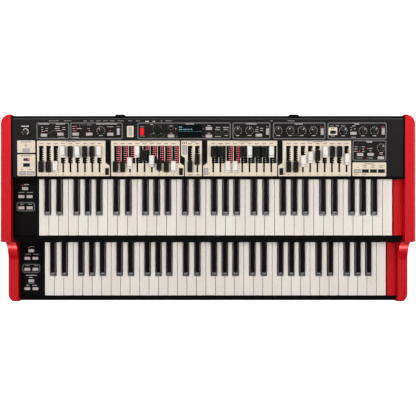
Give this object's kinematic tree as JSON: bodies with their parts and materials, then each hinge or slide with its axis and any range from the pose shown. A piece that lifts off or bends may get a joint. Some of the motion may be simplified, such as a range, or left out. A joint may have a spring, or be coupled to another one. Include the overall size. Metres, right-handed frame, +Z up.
{
  "type": "two-manual combo organ",
  "caption": "Tabletop organ with two stepped keyboards, drawbars and controls on a sloped panel, and L-shaped red cheeks.",
  "frame": {"origin": "centre of the organ's bounding box in X and Y, at the bottom of its four feet", "axes": "+X to the treble end (the player's right), +Y to the rear, +Z up"},
  "size_m": [0.9804, 0.4628, 0.1881],
  "materials": {
    "red_lacquer": "high-gloss red lacquer on board",
    "black_plastic": "satin to gloss black",
    "panel_black": "fine satin, warm black",
    "ivory_key": "polished warm white",
    "black_key": "polished black",
    "drawbar_dark": "semi-gloss brown black",
    "drawbar_white": "semi-gloss white",
    "button_grey": "matte pinkish grey",
    "button_red": "matte red",
    "glass_dark": "polished dark acrylic",
    "board_green": "green solder resist",
    "frame_grey": "moulded dark grey",
    "steel": "plain folded sheet",
    "pressed_board": "dark pressed board",
    "rubber": "matte black"
  },
  "bodies": {
    "body": {"left_cheek": "red_lacquer", "right_cheek": "red_lacquer", "foot_front_left": "rubber", "foot_front_right": "rubber", "foot_rear_left": "rubber", "foot_rear_right": "rubber", "bottom_board": "pressed_board", "rear_panel": "black_plastic", "upper_deck": "pressed_board", "lower_front_rail": "black_plastic", "upper_front_rail": "black_plastic", "lower_right_block": "red_lacquer", "upper_right_block": "red_lacquer", "lower_left_block": "black_plastic", "upper_left_block": "black_plastic", "lower_natural_keys": "ivory_key", "lower_sharp_keys": "black_key", "upper_natural_keys": "ivory_key", "upper_sharp_keys": "black_key", "lower_key_chassis": "frame_grey", "upper_key_chassis": "frame_grey", "control_panel": "panel_black", "drawbar_frame": "frame_grey", "control_board": "board_green", "display_window": "glass_dark", "main_board": "board_green", "power_inlet": "black_plastic", "power_supply": "steel"},
    "upper_key_c": {"upper_key_c": "ivory_key"},
    "upper_key_c_sharp": {"upper_key_c_sharp": "black_key"},
    "upper_key_d": {"upper_key_d": "ivory_key"},
    "upper_key_d_sharp": {"upper_key_d_sharp": "black_key"},
    "upper_key_e": {"upper_key_e": "ivory_key"},
    "upper_key_f": {"upper_key_f": "ivory_key"},
    "upper_key_f_sharp": {"upper_key_f_sharp": "black_key"},
    "upper_key_g": {"upper_key_g": "ivory_key"},
    "upper_key_g_sharp": {"upper_key_g_sharp": "black_key"},
    "upper_key_a": {"upper_key_a": "ivory_key"},
    "upper_key_a_sharp": {"upper_key_a_sharp": "black_key"},
    "upper_key_b": {"upper_key_b": "ivory_key"},
    "lower_key_c": {"lower_key_c": "ivory_key"},
    "lower_key_c_sharp": {"lower_key_c_sharp": "black_key"},
    "lower_key_d": {"lower_key_d": "ivory_key"},
    "lower_key_d_sharp": {"lower_key_d_sharp": "black_key"},
    "lower_key_e": {"lower_key_e": "ivory_key"},
    "drawbar_1": {"drawbar_1": "drawbar_dark"},
    "drawbar_2": {"drawbar_2": "drawbar_dark"},
    "drawbar_3": {"drawbar_3": "drawbar_white"},
    "drawbar_4": {"drawbar_4": "drawbar_white"},
    "drawbar_5": {"drawbar_5": "drawbar_dark"},
    "drawbar_6": {"drawbar_6": "drawbar_white"},
    "drawbar_7": {"drawbar_7": "drawbar_dark"},
    "drawbar_8": {"drawbar_8": "drawbar_dark"},
    "drawbar_9": {"drawbar_9": "drawbar_white"},
    "volume_knob": {"volume_knob": "drawbar_dark"},
    "value_dial": {"value_dial": "drawbar_dark"},
    "rotary_rocker": {"rotary_rocker": "button_grey"},
    "red_button": {"red_button": "button_red"},
    "power_switch": {"power_switch": "black_plastic"},
    "block_button": {"block_button": "button_grey"}
  },
  "joints": [
    {"name": "upper_key_c_hinge", "type": "hinge", "parent": "body", "child": "upper_key_c", "pos_m": [-0.393, 0.132, 0.138], "axis": [1, 0, 0], "range_deg": [0, 3], "stiffness_Nm_per_rad": 1.5, "springref_deg": -5.73},
    {"name": "upper_key_c_sharp_hinge", "type": "hinge", "parent": "body", "child": "upper_key_c_sharp", "pos_m": [-0.38355, 0.132, 0.138], "axis": [1, 0, 0], "range_deg": [0, 3], "stiffness_Nm_per_rad": 1.5, "springref_deg": -5.73},
    {"name": "upper_key_d_hinge", "type": "hinge", "parent": "body", "child": "upper_key_d", "pos_m": [-0.3695, 0.132, 0.138], "axis": [1, 0, 0], "range_deg": [0, 3], "stiffness_Nm_per_rad": 1.5, "springref_deg": -5.73},
    {"name": "upper_key_d_sharp_hinge", "type": "hinge", "parent": "body", "child": "upper_key_d_sharp", "pos_m": [-0.35535, 0.132, 0.138], "axis": [1, 0, 0], "range_deg": [0, 3], "stiffness_Nm_per_rad": 1.5, "springref_deg": -5.73},
    {"name": "upper_key_e_hinge", "type": "hinge", "parent": "body", "child": "upper_key_e", "pos_m": [-0.346, 0.132, 0.138], "axis": [1, 0, 0], "range_deg": [0, 3], "stiffness_Nm_per_rad": 1.5, "springref_deg": -5.73},
    {"name": "upper_key_f_hinge", "type": "hinge", "parent": "body", "child": "upper_key_f", "pos_m": [-0.3225, 0.132, 0.138], "axis": [1, 0, 0], "range_deg": [0, 3], "stiffness_Nm_per_rad": 1.5, "springref_deg": -5.73},
    {"name": "upper_key_f_sharp_hinge", "type": "hinge", "parent": "body", "child": "upper_key_f_sharp", "pos_m": [-0.31415, 0.132, 0.138], "axis": [1, 0, 0], "range_deg": [0, 3], "stiffness_Nm_per_rad": 1.5, "springref_deg": -5.73},
    {"name": "upper_key_g_hinge", "type": "hinge", "parent": "body", "child": "upper_key_g", "pos_m": [-0.299, 0.132, 0.138], "axis": [1, 0, 0], "range_deg": [0, 3], "stiffness_Nm_per_rad": 1.5, "springref_deg": -5.73},
    {"name": "upper_key_g_sharp_hinge", "type": "hinge", "parent": "body", "child": "upper_key_g_sharp", "pos_m": [-0.28725, 0.132, 0.138], "axis": [1, 0, 0], "range_deg": [0, 3], "stiffness_Nm_per_rad": 1.5, "springref_deg": -5.73},
    {"name": "upper_key_a_hinge", "type": "hinge", "parent": "body", "child": "upper_key_a", "pos_m": [-0.2755, 0.132, 0.138], "axis": [1, 0, 0], "range_deg": [0, 3], "stiffness_Nm_per_rad": 1.5, "springref_deg": -5.73},
    {"name": "upper_key_a_sharp_hinge", "type": "hinge", "parent": "body", "child": "upper_key_a_sharp", "pos_m": [-0.26055, 0.132, 0.138], "axis": [1, 0, 0], "range_deg": [0, 3], "stiffness_Nm_per_rad": 1.5, "springref_deg": -5.73},
    {"name": "upper_key_b_hinge", "type": "hinge", "parent": "body", "child": "upper_key_b", "pos_m": [-0.252, 0.132, 0.138], "axis": [1, 0, 0], "range_deg": [0, 3], "stiffness_Nm_per_rad": 1.5, "springref_deg": -5.73},
    {"name": "lower_key_c_hinge", "type": "hinge", "parent": "body", "child": "lower_key_c", "pos_m": [-0.393, -0.0191, 0.066], "axis": [1, 0, 0], "range_deg": [0, 3], "stiffness_Nm_per_rad": 1.5, "springref_deg": -5.73},
    {"name": "lower_key_c_sharp_hinge", "type": "hinge", "parent": "body", "child": "lower_key_c_sharp", "pos_m": [-0.38355, -0.0191, 0.066], "axis": [1, 0, 0], "range_deg": [0, 3], "stiffness_Nm_per_rad": 1.5, "springref_deg": -5.73},
    {"name": "lower_key_d_hinge", "type": "hinge", "parent": "body", "child": "lower_key_d", "pos_m": [-0.3695, -0.0191, 0.066], "axis": [1, 0, 0], "range_deg": [0, 3], "stiffness_Nm_per_rad": 1.5, "springref_deg": -5.73},
    {"name": "lower_key_d_sharp_hinge", "type": "hinge", "parent": "body", "child": "lower_key_d_sharp", "pos_m": [-0.35535, -0.0191, 0.066], "axis": [1, 0, 0], "range_deg": [0, 3], "stiffness_Nm_per_rad": 1.5, "springref_deg": -5.73},
    {"name": "lower_key_e_hinge", "type": "hinge", "parent": "body", "child": "lower_key_e", "pos_m": [-0.346, -0.0191, 0.066], "axis": [1, 0, 0], "range_deg": [0, 3], "stiffness_Nm_per_rad": 1.5, "springref_deg": -5.73},
    {"name": "drawbar_1_slide", "type": "slide", "parent": "body", "child": "drawbar_1", "axis": [0, -0.9993, -0.0366], "range_m": [-0.0353, 0]},
    {"name": "drawbar_2_slide", "type": "slide", "parent": "body", "child": "drawbar_2", "axis": [0, -0.9993, -0.0366], "range_m": [-0.0353, 0]},
    {"name": "drawbar_3_slide", "type": "slide", "parent": "body", "child": "drawbar_3", "axis": [0, -0.9993, -0.0366], "range_m": [-0.02647, 0.00882]},
    {"name": "drawbar_4_slide", "type": "slide", "parent": "body", "child": "drawbar_4", "axis": [0, -0.9993, -0.0366], "range_m": [0, 0.0353]},
    {"name": "drawbar_5_slide", "type": "slide", "parent": "body", "child": "drawbar_5", "axis": [0, -0.9993, -0.0366], "range_m": [-0.00882, 0.02647]},
    {"name": "drawbar_6_slide", "type": "slide", "parent": "body", "child": "drawbar_6", "axis": [0, -0.9993, -0.0366], "range_m": [-0.02206, 0.01324]},
    {"name": "drawbar_7_slide", "type": "slide", "parent": "body", "child": "drawbar_7", "axis": [0, -0.9993, -0.0366], "range_m": [-0.03089, 0.00441]},
    {"name": "drawbar_8_slide", "type": "slide", "parent": "body", "child": "drawbar_8", "axis": [0, -0.9993, -0.0366], "range_m": [-0.0353, 0]},
    {"name": "drawbar_9_slide", "type": "slide", "parent": "body", "child": "drawbar_9", "axis": [0, -0.9993, -0.0366], "range_m": [-0.0353, 0]},
    {"name": "volume_knob_turn", "type": "hinge", "parent": "body", "child": "volume_knob", "pos_m": [-0.4324, 0.18252, 0.17564], "axis": [0, -0.0366, 0.9993], "range_deg": [-150, 150]},
    {"name": "value_dial_turn", "type": "hinge", "parent": "body", "child": "value_dial", "pos_m": [-0.12008, 0.18782, 0.17583], "axis": [0, -0.0366, 0.9993], "continuous": true},
    {"name": "rotary_rocker_tilt", "type": "hinge", "parent": "body", "child": "rotary_rocker", "pos_m": [-0.18404, 0.18282, 0.17565], "axis": [1, 0, 0], "range_deg": [-6, 6]},
    {"name": "red_button_press", "type": "slide", "parent": "body", "child": "red_button", "axis": [0, 0.0366, -0.9993], "range_m": [0, 0.0015], "stiffness_N_per_m": 300, "springref_m": -0.002},
    {"name": "power_switch_tilt", "type": "hinge", "parent": "body", "child": "power_switch", "pos_m": [0.15066, 0.2193, 0.121], "axis": [1, 0, 0], "range_deg": [0, 12]},
    {"name": "block_button_press", "type": "slide", "parent": "body", "child": "block_button", "axis": [0, 0, -1], "range_m": [0, 0.0015], "stiffness_N_per_m": 300, "springref_m": -0.002}
  ]
}
